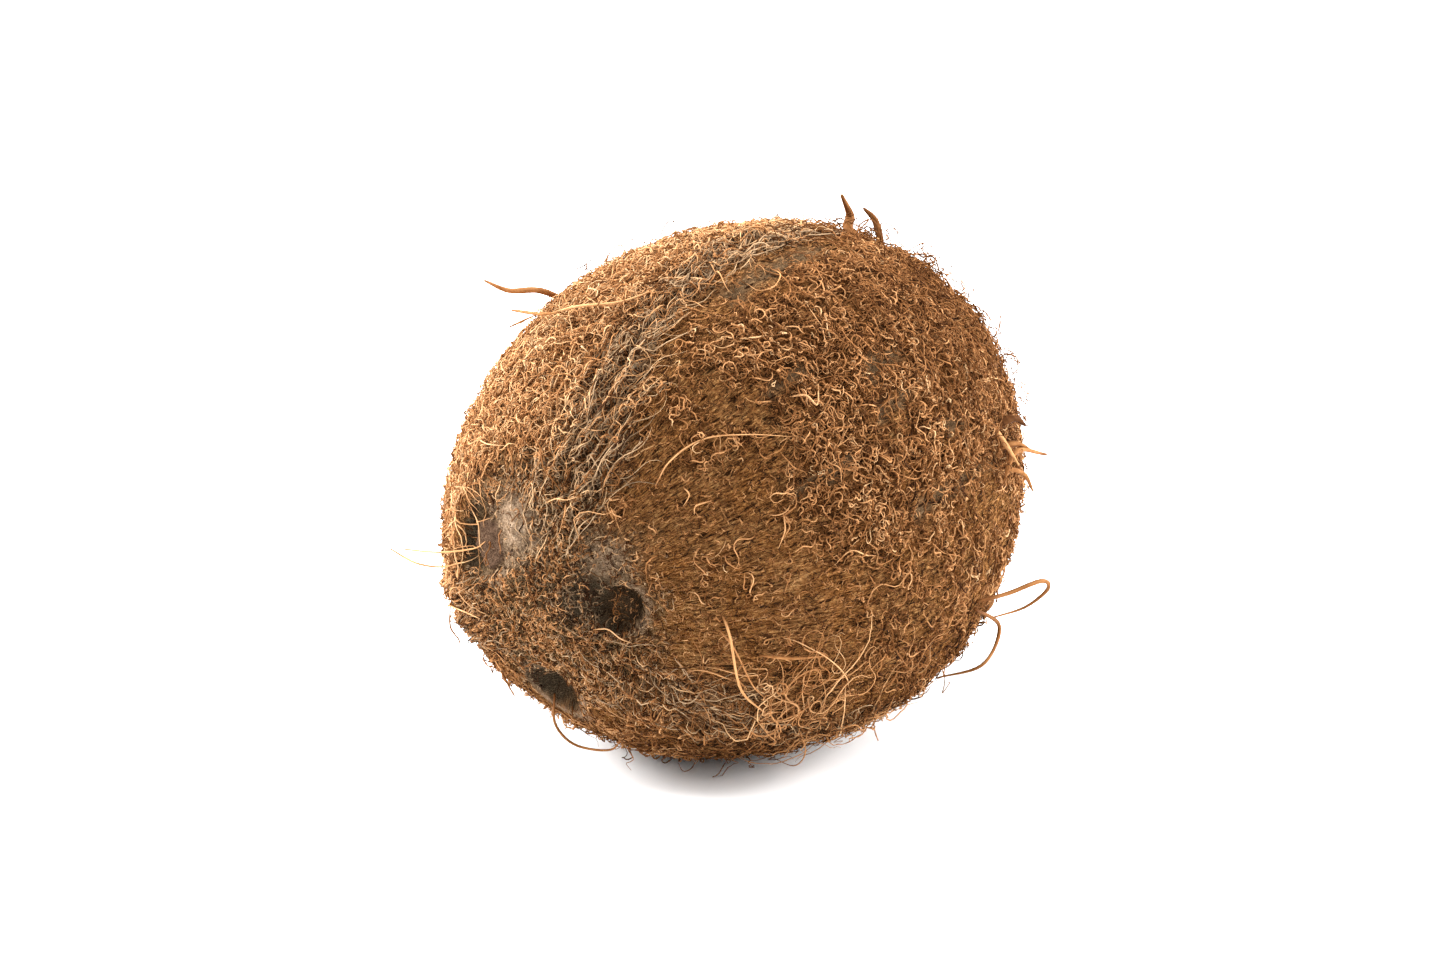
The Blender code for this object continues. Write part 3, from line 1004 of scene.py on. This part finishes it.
# Single strands: half thickness (mm), flatness, tint, and a route over the shell as
# (direction, angle from the pole, height in mm)
STRANDS = [
    (0.8, 1, 0.52, [(133, 84, 0.3), (124, 73, 5), (123, 67, 9), (118, 61, 15.5)]),
    (0.5, 0.8, 0.52, [(125, 66, 5.5), (114, 62, 3.6), (108, 62, 3)]),
    (0.48, 0.7, 0.68, [(112, 62, 3.2), (103, 63, 2.8), (92, 66, 2.2), (85, 78, 1)]),
    (0.36, 0.8, 0.48, [(121, 60, 5.5), (114, 62, 3.6)]),
    (0.24, 0.7, 0.66, [(46, 38, 0.3), (49, 43, 0.7), (48, 50, 0.7), (42, 57, 0.7), (34, 66, 0.3)]),
    (0.4, 0.45, 0.62, [(356, 41, 0.2), (350, 42, 2.2), (335, 45, 4), (324, 53, 1.6)]),
    (0.3, 0.6, 0.54, [(352, 40, 0.4), (346, 43, 2.2), (336, 47, 3.2), (328, 52, 1)]),
    (0.75, 0.4, 0.5, [(343, 48, 1.2), (342, 54, 1.8), (341, 60, 1.6)]),
    (0.58, 1, 0.44, [(336, 100, 0.5), (336, 106, 4.5), (337, 112, 9), (333, 115, 10),
                        (326, 115, 7), (326, 108, 2)]),
    (0.54, 1, 0.42, [(334, 100, 0.5), (321, 112, 4.5), (320, 103, 5.5), (313, 99, 1)]),
    (0.13, 1, 0.72, [(146, 28, 0.8), (143, 22, 2.2), (151, 19, 2.2), (159, 19, 0.6)]),
    (0.24, 1, 0.62, [(180, 42, 9.5), (174, 31, 3.4), (164, 23, 1.8), (153, 20, 0.4)]),
    (0.26, 1, 0.6, [(181, 44, 11.5), (181, 36, 7), (182, 33, 2.6), (175, 26, 0.5)]),
    (0.13, 1, 0.66, [(195, 34, 1.6), (187, 26, 3), (187, 24, 0.5)]),
    (0.22, 1, 0.4, [(199, 38, 1), (205, 33, 2.8), (211, 38, 4), (215, 34, 5)]),
    (0.15, 1, 0.7, [(196, 35, 3), (200, 26, 1.4), (205, 21, 0.5)]),
    (0.38, 0.9, 0.42, [(256, 31, 0.8), (256, 38, 2.6), (262, 42, 4), (275, 42, 3),
                        (282, 40, 0.6)]),
    (0.24, 1, 0.36, [(228, 36, 0.6), (238, 33, 2.4), (244, 30, 4)]),
    (1.3, 0.8, 0.4, [(74, 117, 0), (80, 119, 1.6), (83, 122, 4), (80, 114, 8)]),
    (1, 0.8, 0.34, [(72, 124, 0), (77, 124, 4), (80, 122, 6)]),
    (0.9, 0.6, 0.6, [(14, 111, 0.5), (9, 111, 2.4), (4, 111, 4.2)]),
    (0.9, 0.6, 0.52, [(1, 122, 6), (6, 114, 3), (0, 110, 0.6)]),
    (1.7, 0.5, 0.22, [(13, 113, 0), (13, 117, 2.4), (10, 119, 4)]),
    (1.5, 0.5, 0.44, [(8, 112, 0), (7, 116, 2.6), (3, 119, 4.6)]),
    (1.1, 0.5, 0.52, [(3, 112, 0), (0, 115, 2.8), (355, 116, 4.4)]),
    (0.55, 0.3, 0.74, [(62, 69, 0.6), (60, 71, 0.9), (59, 73, 0.6)]),
    (0.15, 1, 0.62, [(73, 88, 0.4), (69, 86, 1.4), (67, 82, 1.5), (69, 80, 1), (73, 81, 0.5)]),
    (0.16, 1, 0.72, [(341, 15, 0.3), (346, 18, 1.1), (344, 21, 1), (340, 24, 0.2)]),
    (0.14, 1, 0.7, [(84, 22, 0.5), (75, 24, 1.2), (69, 25, 1.2), (63, 29, 0.5)]),
    (0.18, 0.8, 0.62, [(72, 24, 0.5), (68, 22, 1), (66, 18, 0.3)]),
    (0.18, 1, 0.66, [(20, 56, 0.3), (16, 55, 0.8), (12, 53, 0.5)]),
    (0.28, 0.8, 0.7, [(44, 68, 0.3), (42, 70, 1.4), (39, 71, 1), (43, 74, 0.5)]),
    (0.17, 1, 0.66, [(40, 42, 0.2), (37, 42, 0.9), (35, 40, 0.3)]),
    (0.17, 1, 0.66, [(32, 45, 0.2), (33, 42, 1), (31, 41, 0.3)]),
    (0.15, 1, 0.74, [(134, 41, 1.2), (121, 35, 2.4), (114, 34, 1)]),
    (0.13, 1, 0.72, [(140, 43, 1.2), (132, 38, 2.8), (126, 39, 1)]),
    (0.16, 1, 0.56, [(318, 62, 0.3), (311, 66, 3.6), (302, 69, 4.2), (292, 72, 1.6)]),
]
STRAND_STEPS = 26


def curve_through(stops, steps):
    """A smooth curve through the given places, as that many points."""
    ends = np.vstack([2 * stops[0] - stops[1], stops, 2 * stops[-1] - stops[-2]])
    where = np.linspace(0, len(stops) - 1, steps)
    leg = np.minimum(where.astype(int), len(stops) - 2)
    part = (where - leg)[:, None]
    before, first, second, after = (ends[leg + shift] for shift in range(4))
    bend = 3 * (first - second) + after - before
    slope = 2 * before - 5 * first + 4 * second - after
    return first + 0.5 * part * (second - before + part * (slope + part * bend))


def lay_strands(skin, material):
    for number, (half, flatness, tint, route) in enumerate(STRANDS, start=1):
        direction, angle, height = np.array(route, float).T
        stops = skin.above_shell(np.radians(direction), np.radians(angle), height * MM)
        path = curve_through(stops, STRAND_STEPS)
        radii = half * MM * taper(STRAND_STEPS, STRAND_TIP)
        keep(tube_mesh(f"strand_{number}", path[None], radii[None], np.array([tint]), corners=6,
                       flatness=flatness), material)


def grow_coir(skin, material):
    rng = np.random.default_rng(SEED)
    for name, recipe, tries, density, tint, last in GROWTHS:
        around, polar = scatter(rng, tries, density, last)
        plant(name, skin, rng, material, recipe, around, polar, tint)
    for name, recipe, tint, direction, angle, spread, fibres in TUFTS:
        shift = rng.normal(0, spread * MM / HALF_WIDTH, (2, fibres))
        polar = radians(angle) + shift[0]
        around = radians(direction) + shift[1] / np.sin(polar)
        plant(name, skin, rng, material, recipe, around, polar, tint)


# ---------- stage
CAMERA_AZIMUTH = radians(37.0)
CAMERA_HEIGHT = radians(15.0)
CAMERA_DISTANCE = 0.80
CAMERA_LENS = 102.0
CAMERA_SENSOR = 36.0
CAMERA_NEAREST = 0.01
NUT_OFF_CENTRE = (0.0031, -0.0006)     # how far the nut sits right of and above the view's middle
FLOOR_SIZE = 6.0
FLOOR_DROP = 0.0002                    # keeps the floor just clear of the nut
FLOOR_WHITE = (0.94, 0.94, 0.94, 1.0)
SKY_STRENGTH = 1.25

# Lights: name, how far right of the nut, above it and towards the camera, size, power (W)
LIGHTS = [
    ("key", -0.80, 0.50, -0.15, 0.50, 29.0),
    ("side", 0.85, 0.35, -0.15, 0.50, 21.5),
    ("top", -0.1, 0.95, 0.05, 0.40, 11.0),
]


def view_axes():
    back = np.array([sin(CAMERA_AZIMUTH) * cos(CAMERA_HEIGHT),
                     -cos(CAMERA_AZIMUTH) * cos(CAMERA_HEIGHT),
                     sin(CAMERA_HEIGHT)])
    right = np.array([cos(CAMERA_AZIMUTH), sin(CAMERA_AZIMUTH), 0.0])
    return right, np.cross(back, right), back


def make_camera():
    right, up, back = view_axes()
    data = bpy.data.cameras.new("camera")
    data.lens = CAMERA_LENS
    data.sensor_width = CAMERA_SENSOR
    data.clip_start = CAMERA_NEAREST
    camera = show("camera", data)
    place = NUT_CENTRE + back * CAMERA_DISTANCE - right * NUT_OFF_CENTRE[0] - up * NUT_OFF_CENTRE[1]
    turn = Matrix(np.stack([right, up, back], axis=1).tolist())
    camera.matrix_world = Matrix.Translation(Vector(place)) @ turn.to_4x4()
    bpy.context.scene.camera = camera


def make_light(name, rightward, upward, nearer, size, power):
    """A soft square light, placed in the camera's directions and aimed at the nut."""
    right, up, back = view_axes()
    data = bpy.data.lights.new(name, "AREA")
    data.shape = "SQUARE"
    data.size = size
    data.energy = power
    light = show(name, data)
    place = NUT_CENTRE + right * rightward + up * upward + back * nearer
    light.location = Vector(place)
    light.rotation_euler = Vector(place - NUT_CENTRE).to_track_quat("Z", "Y").to_euler()


def make_stage():
    floor_mesh = bpy.data.meshes.new("floor")
    sheet = bmesh.new()
    bmesh.ops.create_grid(sheet, x_segments=1, y_segments=1, size=FLOOR_SIZE)
    sheet.to_mesh(floor_mesh)
    sheet.free()
    floor = show("floor", floor_mesh)
    floor.location = (0, 0, -FLOOR_DROP)
    g = Graph("white_floor")
    g.surface(FLOOR_WHITE, 0.9, 0.0)
    floor_mesh.materials.append(g.material)

    world = bpy.data.worlds.new("studio")
    world.use_nodes = True
    sky = world.node_tree.nodes["Background"]
    sky.inputs["Color"].default_value = (1.0, 1.0, 1.0, 1.0)
    sky.inputs["Strength"].default_value = SKY_STRENGTH
    SCENE.world = world
    for light in LIGHTS:
        make_light(*light)
    SCENE.view_settings.view_transform = "Standard"
    SCENE.view_settings.look = "None"


# ---------- the whole nut
def main():
    make_camera()
    make_stage()
    skin = Skin(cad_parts[CAD_NODE])
    shell = make_shell(skin, shell_material())
    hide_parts(CAD_NODE)
    fibre = fibre_material()
    grow_coir(skin, fibre)
    lay_strands(skin, fibre)


main()
